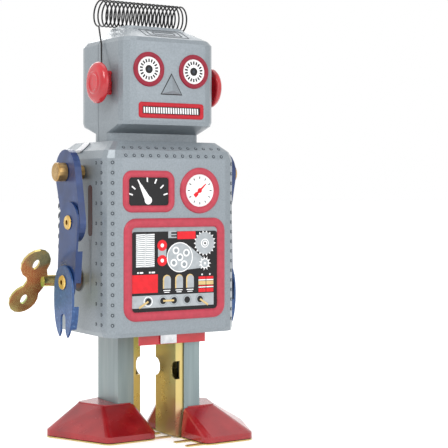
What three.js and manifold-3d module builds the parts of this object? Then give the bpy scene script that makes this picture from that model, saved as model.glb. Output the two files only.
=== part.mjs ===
// A wind-up walking tin robot. Millimetres, +Z up, its front towards -Y and its left side towards +X.
// Pressed tin shells hold a spring clockwork that turns a crankshaft. Each leg hangs on its own crank pin.
import * as THREE from "three";
import { mergeVertices } from "three/addons/utils/BufferGeometryUtils.js";
import Module from "manifold-3d";

const wasm = await Module();
wasm.setup();

// Driving dimensions
const GAP = 0.3; // clearance between neighbouring pieces
const TIN = 0.5; // sheet of the pressed shells
const STRIP = 0.8; // sheet of the arms and of the clockwork's plates
const SIDES = { left: 1, right: -1 };

const TORSO = { width: 58.4, depth: 49.4, corner: 6, bottom: 41.7, shoulder: 110.6, top: 117.5, seam: 6.5 };
const LIP = { half: 15, y: -22.6, drop: 3.7 }; // the bottom plate's turned edge, in front of the legs
const TAB = { from: -5.8, to: 1.4, y: -22.9, drop: 3.4 }; // the clockwork base's tab, folded over that lip
const HEAD = {
  width: 41.7,
  depth: 40.2,
  corner: 5.3,
  centreY: -1.7,
  chin: 124,
  brow: 156.5,
  top: 163.9,
  roofWidth: 26.6,
  roofDepth: 15.8,
  seam: 0.6,
};
const NECK = { width: 41.2, depth: 14.8, corner: 3, top: 121 };
const EAR = { y: -8.5, z: 140.5, radius: 8.2, back: 26, face: 30, shank: 1.5, stemHalf: 3, stemRise: 5 };
const HAIR = { y: 3.6, z: 169.8, radius: 5.3, wire: 0.28, half: 18, turns: 22, tailX: 23.4 };

const SHOULDER = { y: -2.5, z: 105.4 };
const ARM_POSE = {
  right: { elbow: { y: -8, z: 85.8 }, wrist: { y: -5.5, z: 62.5 } },
  left: { elbow: { y: 1.5, z: 85.4 }, wrist: { y: 0.5, z: 61.7 } },
};
const ARM = { inner: 36.2, half: 7.7, top: 8.9, rim: 2.8, eyelet: 1.6, flange: 2.9 };
const PIN = { shank: 1.6, foot: 3, collar: 2.8, cap: 3.7, inner: 26.6, end: 41.2 };
const HAND = { half: 8.4, top: 6.6, notch: 2.2, palm: 14.3, tip: 21.2 };
const KEY = {
  bore: 30,
  neck: 2.4,
  plate: 40.6,
  lobeX: 46.6,
  lobeOut: 9.4,
  lobeRadius: 7.3,
  lobeDepth: 6,
  thickness: 1,
  tilt: 40,
};

const CRANK = { y: -2.6, z: 53, throw: 10, journal: 1.2, pin: 1.5, web: 5, centreWeb: 1.3, outerWeb: 13.5 };
const OPENING = { halfWidth: 14.85, halfDepth: 19.5 }; // for both legs, in the bottom plate and the base
const FRAME = { inside: 14.9, base: 44.3, front: -19, back: 23.4, top: 76, corner: 3 };
const BASE = { width: 46, depth: 44.9, y: -0.95 };
const BRIDGE = { x: 22.3, front: -15, back: 2, bottom: 47.5, top: 74.5 };
const SPRING = { inside: 2.5, growth: 7.9, turns: 4.5, half: 0.25, near: 19.5, far: 26, post: 11.8 };
const CLICK = { pivot: 8.4, pivotAngle: 100, nose: 5.7, noseAngle: 62, pin: 0.7 };
const DRIVE = { module: 0.775, wheel: 30, pinion: 10 };
const TRAIN = { module: 0.5, wheel: 28, pinion: 8 };
// The gears lie in layers between the left plate and the bridge, each given by its two faces.
const LAYER = {
  crankPinion: [16.2, 17.8],
  greatWheel: [16.5, 17.5],
  ratchet: [17.8, 18.6],
  leaves: [18.7, 20.1],
  crankWheel: [19, 19.8],
  escape: [20.6, 21.3],
};

const LEG = { medial: 2.5, lateral: 13.1, half: 8.85, top: 46, tongue: 6, eye: 3.2, coverInner: 6 };
const BITE = { z: 27, radius: 3.6 }; // the half-round bites in the channel's edges
const FOOT = { sole: 0.5, rim: 3, plateau: 12.5, corner: 3 };
// Corners of the foot's base and flat top: distance from the toy's middle, and along from the leg's middle.
const FOOT_BASE = [
  [5, -27],
  [26.5, -27],
  [40, 3],
  [3.8, 22],
];
const FOOT_FLAT = [
  [5.8, -9.2],
  [19.8, -9.2],
  [25, 5],
  [4.9, 13.5],
];
const SOLE_TAB = { along: [-24.2, -15.5], half: 1.1, root: 6.5, reach: 2.1 };

// Positions that follow from the gears: both pairs lie on a 3-4-5 triangle from the crankshaft.
const driveDistance = (DRIVE.module * (DRIVE.wheel + DRIVE.pinion)) / 2;
const trainDistance = (TRAIN.module * (TRAIN.wheel + TRAIN.pinion)) / 2;
const ARBOR = { y: CRANK.y + 0.8 * driveDistance, z: CRANK.z + 0.6 * driveDistance, radius: 1.5 };
const ESCAPE = { y: CRANK.y - 0.6 * trainDistance, z: CRANK.z + 0.8 * trainDistance, radius: 0.8, rim: 6.5 };
const PALLET = { y: ESCAPE.y, z: ESCAPE.z + 9.5, radius: 0.8, reach: 7.4, nib: 0.5 };

const material = (color, metalness, roughness) =>
  new THREE.MeshStandardMaterial({ color, metalness, roughness });
const FINISH = {
  body: () => material(0x949ea8, 0.5, 0.4),
  arm: () => material(0x28468c, 0.4, 0.35),
  red: () => material(0xa0191e, 0.3, 0.35),
  ear: () => material(0xdc323c, 0.1, 0.25),
  leg: () => material(0x788c91, 0.4, 0.4),
  zinc: () => material(0xd2c378, 0.9, 0.35),
  brass: () => material(0xb08c46, 1, 0.35),
  steel: () => material(0x9a9ca0, 1, 0.35),
  wire: () => material(0x19191c, 0.8, 0.4),
};

// Solids
function solid(geometry) {
  const bare = geometry.index ? geometry.toNonIndexed() : geometry.clone();
  bare.deleteAttribute("normal");
  bare.deleteAttribute("uv");
  const merged = mergeVertices(bare, 1e-4);
  const vertProperties = merged.attributes.position.array;
  const made = (triVerts) => new wasm.Manifold(new wasm.Mesh({ numProp: 3, vertProperties, triVerts }));
  const outward = made(new Uint32Array(merged.index.array));
  return outward.volume() > 0 ? outward : made(new Uint32Array(merged.index.array).reverse());
}

function geometryOf(made) {
  const { vertProperties, triVerts } = made.getMesh();
  const geometry = new THREE.BufferGeometry();
  geometry.setAttribute("position", new THREE.Float32BufferAttribute(vertProperties, 3));
  geometry.setIndex(new THREE.Uint32BufferAttribute(triVerts, 1));
  geometry.computeVertexNormals();
  return geometry;
}

const join = (...pieces) => pieces.reduce((a, b) => a.add(b));
const cut = (piece, ...tools) => tools.reduce((a, b) => a.subtract(b), piece);
const robot = new THREE.Group();

function part(name, made, finish) {
  const mesh = new THREE.Mesh(geometryOf(made), FINISH[finish]());
  mesh.name = name;
  robot.add(mesh);
}

// A block between two corners, given in any order.
function block([x0, y0, z0], [x1, y1, z1]) {
  const size = [Math.abs(x1 - x0), Math.abs(y1 - y0), Math.abs(z1 - z0)];
  const centre = [(x0 + x1) / 2, (y0 + y1) / 2, (z0 + z1) / 2];
  return solid(new THREE.BoxGeometry(...size).translate(...centre));
}

// An outline in the Y-Z plane, made solid from x = a to x = b.
const acrossX = new THREE.Matrix4().makeBasis(
  new THREE.Vector3(0, 1, 0),
  new THREE.Vector3(0, 0, 1),
  new THREE.Vector3(1, 0, 0),
);
function slab(outline, a, b, curveSegments = 6) {
  const depth = Math.abs(b - a);
  const geometry = new THREE.ExtrudeGeometry(outline, { depth, bevelEnabled: false, curveSegments });
  return solid(geometry.applyMatrix4(acrossX).translate(Math.min(a, b), 0, 0));
}

function circle(y, z, radius) {
  const outline = new THREE.Shape();
  outline.absarc(y, z, radius, 0, Math.PI * 2);
  return outline;
}

const rod = ({ y, z }, radius, a, b, segments = 8) => slab(circle(y, z, radius), a, b, segments);

// A turned piece about an axis along X; the profile's pairs are x, radius.
function turned({ y, z }, side, profile, segments = 16) {
  const points = profile.map(([x, radius]) => new THREE.Vector2(radius, x));
  const geometry = new THREE.LatheGeometry(points, segments);
  geometry.rotateZ(-Math.PI / 2);
  if (side < 0) geometry.rotateZ(Math.PI);
  return solid(geometry.translate(0, y, z));
}

// The outline of a strip with round ends, from one centre to the other.
function link(from, fromRadius, to, toRadius) {
  const length = Math.hypot(to.y - from.y, to.z - from.z);
  const heading = Math.atan2(to.z - from.z, to.y - from.y);
  const lean = Math.acos((fromRadius - toRadius) / length);
  const outline = new THREE.Shape();
  outline.absarc(to.y, to.z, toRadius, heading - lean, heading + lean);
  outline.absarc(from.y, from.z, fromRadius, heading + lean, heading - lean + Math.PI * 2);
  return outline;
}

// Rounded polygon at one height; corners run anticlockwise seen from above.
function ring(corners, radius, inset, z, steps = 3) {
  const normals = corners.map(([x, y], i) => {
    const [nextX, nextY] = corners[(i + 1) % corners.length];
    const length = Math.hypot(nextX - x, nextY - y);
    return [(nextY - y) / length, (x - nextX) / length];
  });
  return corners.flatMap(([x, y], i) => {
    const [ax, ay] = normals[(i + corners.length - 1) % corners.length];
    const [bx, by] = normals[i];
    const reach = (inset + radius) / (1 + ax * bx + ay * by);
    const start = Math.atan2(ay, ax);
    const turn = (Math.atan2(by, bx) - start + Math.PI * 4) % (Math.PI * 2);
    return Array.from({ length: steps + 1 }, (_, k) => {
      const angle = start + (turn * k) / steps;
      const px = x - (ax + bx) * reach + radius * Math.cos(angle);
      const py = y - (ay + by) * reach + radius * Math.sin(angle);
      return new THREE.Vector3(px, py, z);
    });
  });
}

// A closed skin over a stack of rings with equal counts, lowest first.
function loft(rings) {
  const count = rings[0].length;
  const middle = (points) =>
    points.reduce((sum, p) => sum.add(p), new THREE.Vector3()).divideScalar(points.length);
  const points = [...rings.flat(), middle(rings[0]), middle(rings.at(-1))];
  const [bottom, top, last] = [points.length - 2, points.length - 1, (rings.length - 1) * count];
  const index = [];
  for (let i = 0; i < count; i++) {
    const j = (i + 1) % count;
    for (let row = 0; row < last; row += count) {
      index.push(row + i, row + j, row + count + j, row + i, row + count + j, row + count + i);
    }
    index.push(bottom, j, i, top, last + i, last + j);
  }
  const geometry = new THREE.BufferGeometry().setFromPoints(points);
  geometry.setIndex(index);
  return solid(geometry);
}

const rectangle = (width, depth, y = 0) => [
  [width / 2, y - depth / 2],
  [width / 2, y + depth / 2],
  [-width / 2, y + depth / 2],
  [-width / 2, y - depth / 2],
];

// A pressed shell through levels of { z, corners, radius, lift }. Its inside lies one sheet further in,
// raised by the level's lift, which keeps sloping walls as thick as upright ones.
function pressed(levels) {
  return cut(
    loft(levels.map(({ z, corners, radius }) => ring(corners, radius, 0, z))),
    loft(levels.map(({ z, corners, radius, lift }) => ring(corners, radius - TIN, TIN, z + lift))),
  );
}

const FAR = 200;
const ahead = (y) => block([-FAR, -FAR, -FAR], [FAR, y, FAR]);
const behind = (y) => block([-FAR, y, -FAR], [FAR, FAR, FAR]);

// Torso: a front and a back pressing, meeting on the sides, open underneath
function torso() {
  const { width, depth, corner, bottom, shoulder, top, seam } = TORSO;
  const hem = 1.7;
  const level = (z, inset, radius, lift = 0) => {
    const corners = rectangle(width - 2 * inset, depth - 2 * inset);
    return { z, corners, radius, lift };
  };
  const shell = pressed([
    level(bottom, 0.5, corner - 1, -1),
    level(bottom + hem, 0, corner),
    level(shoulder, 0, corner),
    level(shoulder + 3.2, 1.3, corner - 1, -0.2),
    level(top, 5.5, corner - 2, -TIN),
  ]);
  const holes = [
    rod(SHOULDER, PIN.shank + GAP, -width, width),
    rod(ARBOR, ARBOR.radius + GAP, -width, 0),
  ];
  part("torso_front_shell", cut(shell, ...holes).intersect(ahead(seam)), "body");
  part("torso_back_shell", cut(shell, ...holes).intersect(behind(seam + GAP)), "body");

  // The plate across the bottom has one opening for both legs and a lip that hangs in front of them.
  const edge = TIN + GAP;
  const plateZ = bottom + hem + 0.1;
  const outline = ring(rectangle(width - 2 * edge, depth - 2 * edge), corner - edge, 0, plateZ);
  const plate = loft([outline, outline.map((p) => p.clone().setZ(plateZ + TIN))]);
  const lip = block([-LIP.half, LIP.y, bottom - LIP.drop], [LIP.half, LIP.y + TIN, plateZ + TIN]);
  const tabNotch = block([TAB.from - GAP, -depth, plateZ - 1], [TAB.to + GAP, LIP.y, plateZ + 1]);
  part("torso_bottom_plate", join(cut(plate, legOpening(plateZ), tabNotch), lip), "ear");
}

const legOpening = (z) => {
  const { halfWidth, halfDepth } = OPENING;
  return block([-halfWidth, CRANK.y - halfDepth, z - 5], [halfWidth, CRANK.y + halfDepth, z + 5]);
};

// Head: a front and a back pressing with a neck that stands on the torso
function head() {
  const { width, depth, corner, centreY, chin, brow, top, roofWidth, roofDepth, seam } = HEAD;
  const level = (z, w, d, radius, lift = 0) => ({ z, corners: rectangle(w, d, centreY), radius, lift });
  const shell = pressed([
    level(TORSO.top + GAP, NECK.width, NECK.depth, NECK.corner, TIN),
    level(NECK.top, NECK.width, NECK.depth, NECK.corner, 0.4),
    level(chin, width - 0.4, depth - 1.6, corner, 0.4),
    level(chin + 1.6, width, depth, corner),
    level(brow, width, depth, corner),
    level(brow + 1.7, width - 2.1, depth - 2.2, corner, -0.2),
    level(top - 0.9, roofWidth + 1.9, roofDepth + 1.8, 4, -0.4),
    level(top, roofWidth, roofDepth, 3.5, -TIN),
  ]);
  const hole = rod(EAR, EAR.shank + GAP, -width, width);
  part("head_front_shell", cut(shell, hole).intersect(ahead(seam)), "body");
  part("head_back_shell", cut(shell, hole).intersect(behind(seam + GAP)), "body");

  const wall = width / 2;
  const root = wall - 2.6;
  const { back, face, radius, shank, stemHalf, stemRise } = EAR;
  const profile = [
    [root, 0],
    [root, shank],
    [back, shank],
    [back, radius - 0.7],
    [back + 0.8, radius],
    [face - 1.8, radius - 0.5],
    [face - 0.6, radius - 2.4],
    [face, 0],
  ];
  for (const [name, side] of Object.entries(SIDES)) {
    const near = [side * (wall + GAP), EAR.y - stemHalf, EAR.z - stemRise];
    const far = [side * (back + 0.5), EAR.y + stemHalf, EAR.z + stemRise];
    part("ear_" + name, join(turned(EAR, side, profile, 20), block(near, far)), "ear");
  }
}

// Hair: one wire, coiled across the head, whose ends run down the sides to the ears
function hairSpring() {
  const { y, z, half, radius, turns, wire, tailX } = HAIR;
  const perTurn = 8;
  const count = turns * perTurn;
  const coil = Array.from({ length: count + 1 }, (_, i) => {
    const angle = Math.PI * (1 + (2 * i) / perTurn);
    const x = half * ((2 * i) / count - 1);
    return new THREE.Vector3(x, y + radius * Math.cos(angle), z + radius * Math.sin(angle));
  });
  const tail = (side) => [
    new THREE.Vector3(side * tailX, EAR.y + 2, EAR.z + EAR.stemRise + 0.6),
    new THREE.Vector3(side * (tailX - 1.4), y - radius - 1.5, z - 9),
  ];
  const extrudePath = new THREE.CatmullRomCurve3([...tail(-1), ...coil, ...tail(1).reverse()]);
  extrudePath.arcLengthDivisions = 3000;
  const section = new THREE.Shape().absarc(0, 0, wire, 0, Math.PI * 2);
  const options = { steps: count + 24, extrudePath, curveSegments: 2 };
  part("hair_spring", solid(new THREE.ExtrudeGeometry(section, options)), "wire");
}

// Arms: three flat strips a side, on a brass pin at the shoulder and on eyelets below it
function eyelet(side, centre, inner, outer) {
  const { eyelet: barrel, flange } = ARM;
  const bore = 1;
  const profile = [
    [inner, bore],
    [inner, flange],
    [inner + 0.5, flange],
    [inner + 0.6, barrel],
    [outer - 0.6, barrel],
    [outer - 0.5, flange],
    [outer, flange - 0.3],
    [outer, bore],
    [inner, bore],
  ];
  return turned(centre, side, profile, 12);
}

// The half space ahead of the line through two centres, as a thick slab.
function aheadOf(from, to) {
  const run = { y: (from.y - to.y) * 9, z: (from.z - to.z) * 9 };
  const outline = new THREE.Shape([
    new THREE.Vector2(from.y + run.y, from.z + run.z),
    new THREE.Vector2(to.y - run.y, to.z - run.z),
    new THREE.Vector2(-2 * FAR, to.z - run.z),
    new THREE.Vector2(-2 * FAR, from.z + run.z),
  ]);
  return slab(outline, -FAR, FAR);
}

function handOutline({ y, z }, inset) {
  const { half, top, notch, palm, tip } = HAND;
  const side = half - inset;
  const outline = new THREE.Shape();
  outline.moveTo(y - side, z - 6);
  outline.quadraticCurveTo(y - side, z - tip * 0.8, y - notch - 1.4, z - tip + inset);
  outline.lineTo(y - notch, z - tip + 2);
  outline.lineTo(y - notch, z - palm);
  outline.absarc(y, z - palm, notch, Math.PI, 0, true);
  outline.lineTo(y + notch, z - tip + 2);
  outline.lineTo(y + notch + 1.4, z - tip + inset);
  outline.quadraticCurveTo(y + side, z - tip * 0.8, y + side, z - 6);
  outline.quadraticCurveTo(y + side, z + top - inset, y, z + top - inset);
  outline.quadraticCurveTo(y - side, z + top - inset, y - side, z - 6);
  return outline;
}

function arms() {
  const { inner, half, top, rim } = ARM;
  const layer = STRIP + GAP;
  for (const [name, side] of Object.entries(SIDES)) {
    const { elbow, wrist } = ARM_POSE[name];
    const face = (index) => inner + index * layer;
    const plate = (outline, index) => slab(outline, side * face(index), side * (face(index) + STRIP));
    const hole = (centre, radius) => rod(centre, radius + GAP, -FAR, FAR);
    // A strip's lip is turned inwards along its front edge, clear of the strips that it turns against.
    const lip = (outline, inside, index, region) => {
      const band = slab(outline, side * (face(index) + STRIP - rim), side * (face(index) + STRIP));
      return cut(band, slab(inside, -FAR, FAR)).intersect(region);
    };
    const between = (low, high) => block([-FAR, -FAR, low], [FAR, FAR, high]);

    const upper = link(SHOULDER, top, elbow, half);
    const upperInside = link(SHOULDER, top - STRIP, elbow, half - STRIP);
    const upperArm = join(plate(upper, 0), lip(upper, upperInside, 0, aheadOf(SHOULDER, elbow)));
    part("upper_arm_" + name, cut(upperArm, hole(SHOULDER, PIN.shank), hole(elbow, ARM.eyelet)), "arm");

    const foreTop = half + 0.4;
    const fore = link(elbow, foreTop, wrist, half);
    const foreInside = link(elbow, foreTop - STRIP, wrist, half - STRIP);
    const foreFront = aheadOf(elbow, wrist).intersect(between(wrist.z, elbow.z - 11));
    const forearm = join(plate(fore, 1), lip(fore, foreInside, 1, foreFront));
    part("forearm_" + name, cut(forearm, hole(elbow, ARM.eyelet), hole(wrist, ARM.eyelet)), "arm");

    const palm = handOutline(wrist, 0);
    const palmFront = block([-FAR, -FAR, wrist.z - 18], [FAR, wrist.y - 5, wrist.z - 9]);
    const hand = join(plate(palm, 2), lip(palm, handOutline(wrist, STRIP), 2, palmFront));
    part("hand_" + name, cut(hand, hole(wrist, ARM.eyelet)), "arm");

    // The pin's foot is inside the torso's wall, its collar outside it, and its cap holds the arm on.
    const collarStart = PIN.inner + 3;
    const collarEnd = inner - 0.4;
    const capStart = inner + STRIP + GAP;
    const profile = [
      [PIN.inner, 0],
      [PIN.inner, PIN.foot],
      [PIN.inner + 1, PIN.foot],
      [PIN.inner + 1, PIN.shank],
      [collarStart, PIN.shank],
      [collarStart, PIN.collar],
      [collarEnd, PIN.collar],
      [collarEnd, PIN.shank],
      [capStart, PIN.shank],
      [capStart, PIN.cap],
      [PIN.end - 0.3, PIN.cap],
      [PIN.end, PIN.cap - 0.4],
      [PIN.end, 0],
    ];
    part("shoulder_pin_" + name, turned(SHOULDER, side, profile), "brass");
    part("elbow_eyelet_" + name, eyelet(side, elbow, face(0) - 0.9, face(1) + STRIP + 0.8), "brass");
    part("wrist_eyelet_" + name, eyelet(side, wrist, face(1) - 0.9, face(2) + STRIP + 0.8), "brass");
  }
}

// Winding key and its arbor, on the right side
function winding() {
  const { bore, neck, plate, lobeX, lobeOut, lobeRadius, lobeDepth, thickness, tilt } = KEY;
  const flat = (outline, depth) => {
    const geometry = new THREE.ExtrudeGeometry(outline, { depth, bevelEnabled: false, curveSegments: 8 });
    geometry.translate(0, 0, -depth / 2).rotateX(THREE.MathUtils.degToRad(90 + tilt));
    return solid(geometry.translate(0, ARBOR.y, ARBOR.z));
  };
  const oval = (out, rx, ry) => new THREE.Shape().absellipse(-lobeX, out, rx, ry, 0, Math.PI * 2);
  const waist = new THREE.Shape(
    [
      [-plate + 1, 2.6],
      [-plate - 1, 8],
      [-lobeX - 3.2, 7],
      [-lobeX - 1.2, 0],
      [-lobeX - 3.2, -7],
      [-plate - 1, -8],
      [-plate + 1, -2.6],
    ].map((p) => new THREE.Vector2(...p)),
  );
  const lobes = [1, -1].map((end) => flat(oval(end * lobeOut, lobeDepth, lobeRadius), thickness));
  const slots = [1, -1].map((end) => flat(oval(end * lobeOut, 1.3, 2.6), 6));
  const socket = rod(ARBOR, ARBOR.radius + GAP, -bore + 1, -plate + 2.2);
  const barrel = cut(rod(ARBOR, neck, -bore, -plate - 0.5), socket);
  part("winding_key", cut(join(flat(waist, thickness), ...lobes, barrel), ...slots), "zinc");
  part("winding_arbor", rod(ARBOR, ARBOR.radius, -plate + 2.5, 19.4), "steel");
}

// A spur gear's outline; one tooth points along the phase angle.
function spur({ y, z }, module, teeth, phase) {
  const pitch = (module * teeth) / 2;
  const half = (Math.PI / 2 / teeth) * 0.8;
  const [root, tip] = [pitch - 1.2 * module, pitch + 0.9 * module];
  const tooth = [
    [root, -1.3],
    [tip, -0.45],
    [tip, 0.45],
    [root, 1.3],
  ];
  const points = [];
  for (let i = 0; i < teeth; i++) {
    for (const [radius, share] of tooth) {
      const angle = phase + (i / teeth) * Math.PI * 2 + share * half;
      points.push(new THREE.Vector2(y + radius * Math.cos(angle), z + radius * Math.sin(angle)));
    }
  }
  return new THREE.Shape(points);
}

// A wheel with saw teeth, for a click or a pallet to catch.
function saw({ y, z }, teeth, root, tip) {
  const points = [];
  for (let i = 0; i < teeth; i++) {
    const angle = (i / teeth) * Math.PI * 2;
    const slope = angle + (Math.PI * 1.6) / teeth;
    points.push(new THREE.Vector2(y + root * Math.cos(angle), z + root * Math.sin(angle)));
    points.push(new THREE.Vector2(y + tip * Math.cos(slope), z + tip * Math.sin(slope)));
  }
  return new THREE.Shape(points);
}

const from = ({ y, z }, radius, degrees) => {
  const angle = THREE.MathUtils.degToRad(degrees);
  return { y: y + radius * Math.cos(angle), z: z + radius * Math.sin(angle) };
};

// Clockwork: side plates on a base, the spring on the right and the gears on the left
function clockwork() {
  const { inside, base, front, back, top, corner } = FRAME;
  const outside = inside + STRIP;
  const plateBottom = base + STRIP + GAP;
  const baseOutline = ring(rectangle(BASE.width, BASE.depth, BASE.y), corner, 0, base);
  const baseSheet = loft([baseOutline, baseOutline.map((p) => p.clone().setZ(base + STRIP))]);
  const tab = block([TAB.from, TAB.y, TORSO.bottom - TAB.drop], [TAB.to, TAB.y - TIN, base + STRIP]);
  part("motor_base", join(cut(baseSheet, legOpening(base)), tab), "steel");

  const upright = (y0, y1, z0, z1) => {
    const corners = [
      [y0, z0],
      [y1, z0],
      [y1, z1],
      [y0, z1],
    ];
    return new THREE.Shape(ring(corners, corner, 0, 0).map(({ x, y }) => new THREE.Vector2(x, y)));
  };
  const outline = upright(front, back, plateBottom, top);
  const shafts = [rod(CRANK, CRANK.journal + GAP, -FAR, FAR), rod(ARBOR, ARBOR.radius + GAP, -FAR, FAR)];
  const arbors = [ESCAPE, PALLET].map((axis) => rod(axis, axis.radius + GAP, -FAR, FAR));
  part("motor_plate_right", cut(slab(outline, -outside, -inside), ...shafts), "zinc");
  part("motor_plate_left", cut(slab(outline, inside, outside), ...shafts, ...arbors), "zinc");

  const bridge = upright(BRIDGE.front, BRIDGE.back, BRIDGE.bottom, BRIDGE.top);
  part("train_bridge", cut(slab(bridge, BRIDGE.x, BRIDGE.x + STRIP), shafts[0], ...arbors), "zinc");

  const framePillars = { upper_front: [-16, 73], upper_back: [21, 73], lower_back: [21, 49] };
  for (const [name, [y, z]] of Object.entries(framePillars)) {
    part("frame_pillar_" + name, rod({ y, z }, 1.2, -inside + GAP, inside - GAP, 8), "steel");
  }
  const bridgePillars = { lower: [-13, 49.7], upper: [-0.8, 72.5] };
  for (const [name, [y, z]] of Object.entries(bridgePillars)) {
    part("bridge_pillar_" + name, rod({ y, z }, 1, outside + GAP, BRIDGE.x - GAP, 8), "steel");
  }

  // The mainspring is an open coil whose outer end stands by a post on the right plate.
  const steps = SPRING.turns * 14;
  const spiral = (offset) =>
    Array.from({ length: steps + 1 }, (_, i) => {
      const radius = SPRING.inside + (SPRING.growth * i) / steps + offset;
      const { y, z } = from(ARBOR, radius, 180 + (i / steps) * SPRING.turns * 360);
      return new THREE.Vector2(y, z);
    });
  const strip = new THREE.Shape([...spiral(SPRING.half), ...spiral(-SPRING.half).reverse()]);
  part("mainspring", slab(strip, -SPRING.far, -SPRING.near), "steel");
  const post = { y: ARBOR.y + SPRING.post, z: ARBOR.z };
  part("spring_post", rod(post, 1, -SPRING.far, -outside - GAP, 8), "steel");

  // The great wheel and its ratchet turn on the arbor, and the click is pivoted on the great wheel.
  const mesh = Math.atan2(ARBOR.z - CRANK.z, ARBOR.y - CRANK.y);
  const clickPivot = from(ARBOR, CLICK.pivot, CLICK.pivotAngle);
  const greatTeeth = spur(ARBOR, DRIVE.module, DRIVE.wheel, mesh + Math.PI + Math.PI / DRIVE.wheel);
  const wheel = slab(greatTeeth, ...LAYER.greatWheel);
  const fit = rod(ARBOR, ARBOR.radius + GAP, 0, FAR);
  part("great_wheel", cut(wheel, fit, rod(clickPivot, 1, 0, FAR, 8)), "brass");
  part("ratchet_wheel", cut(slab(saw(ARBOR, 12, 4, 5), ...LAYER.ratchet), fit), "steel");
  const nose = from(ARBOR, CLICK.nose, CLICK.noseAngle);
  const lever = slab(link(clickPivot, 1.3, nose, 0.35), ...LAYER.ratchet, 4);
  const clickPin = rod(clickPivot, CLICK.pin, LAYER.greatWheel[0] + 0.1, LAYER.ratchet[0] + 0.2, 8);
  part("click", join(lever, clickPin), "steel");

  // Crankshaft: two throws half a turn apart, the left one forward
  const { throw: reach, journal, pin, web, centreWeb, outerWeb } = CRANK;
  const pinAt = (side) => ({ y: CRANK.y - side * reach, z: CRANK.z });
  const webs = [1, -1].flatMap((side) => [
    slab(link(CRANK, web / 2, pinAt(side), web / 2), side * outerWeb, side * (outerWeb + 1)),
    slab(link(CRANK, web / 2, pinAt(side), web / 2), -centreWeb, centreWeb),
    rod(pinAt(side), pin, side * centreWeb * 0.5, side * (outerWeb + 0.5)),
  ]);
  const journals = [rod(CRANK, journal, outerWeb + 0.5, 23.6), rod(CRANK, journal, -outerWeb - 0.5, -16.6)];
  part("crankshaft", join(...webs, ...journals), "steel");
  const crankFit = rod(CRANK, journal + GAP, 0, FAR);
  const pinionTeeth = spur(CRANK, DRIVE.module, DRIVE.pinion, mesh);
  part("crank_pinion", cut(slab(pinionTeeth, ...LAYER.crankPinion), crankFit), "brass");

  // Escape train
  const trainMesh = Math.atan2(ESCAPE.z - CRANK.z, ESCAPE.y - CRANK.y);
  const trainTeeth = spur(CRANK, TRAIN.module, TRAIN.wheel, trainMesh);
  part("crank_wheel", cut(slab(trainTeeth, ...LAYER.crankWheel), crankFit), "brass");
  const leaves = spur(ESCAPE, TRAIN.module, TRAIN.pinion, trainMesh + Math.PI + Math.PI / TRAIN.pinion);
  const arborSpan = [inside + 0.2, BRIDGE.x + 0.6]; // from the left plate to the bridge
  const escapeShaft = rod(ESCAPE, ESCAPE.radius, ...arborSpan);
  part("escape_arbor", join(escapeShaft, slab(leaves, ...LAYER.leaves)), "steel");
  const star = slab(saw(ESCAPE, 12, ESCAPE.rim - 1.4, ESCAPE.rim), ...LAYER.escape);
  part("escape_wheel", cut(star, rod(ESCAPE, ESCAPE.radius + GAP, 0, FAR)), "brass");
  const arm = (degrees) =>
    slab(link(PALLET, 1.8, from(ESCAPE, PALLET.reach, degrees), PALLET.nib), ...LAYER.escape, 4);
  part("pallet", join(arm(52), arm(128), rod(PALLET, PALLET.radius, ...arborSpan)), "steel");
}

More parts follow.
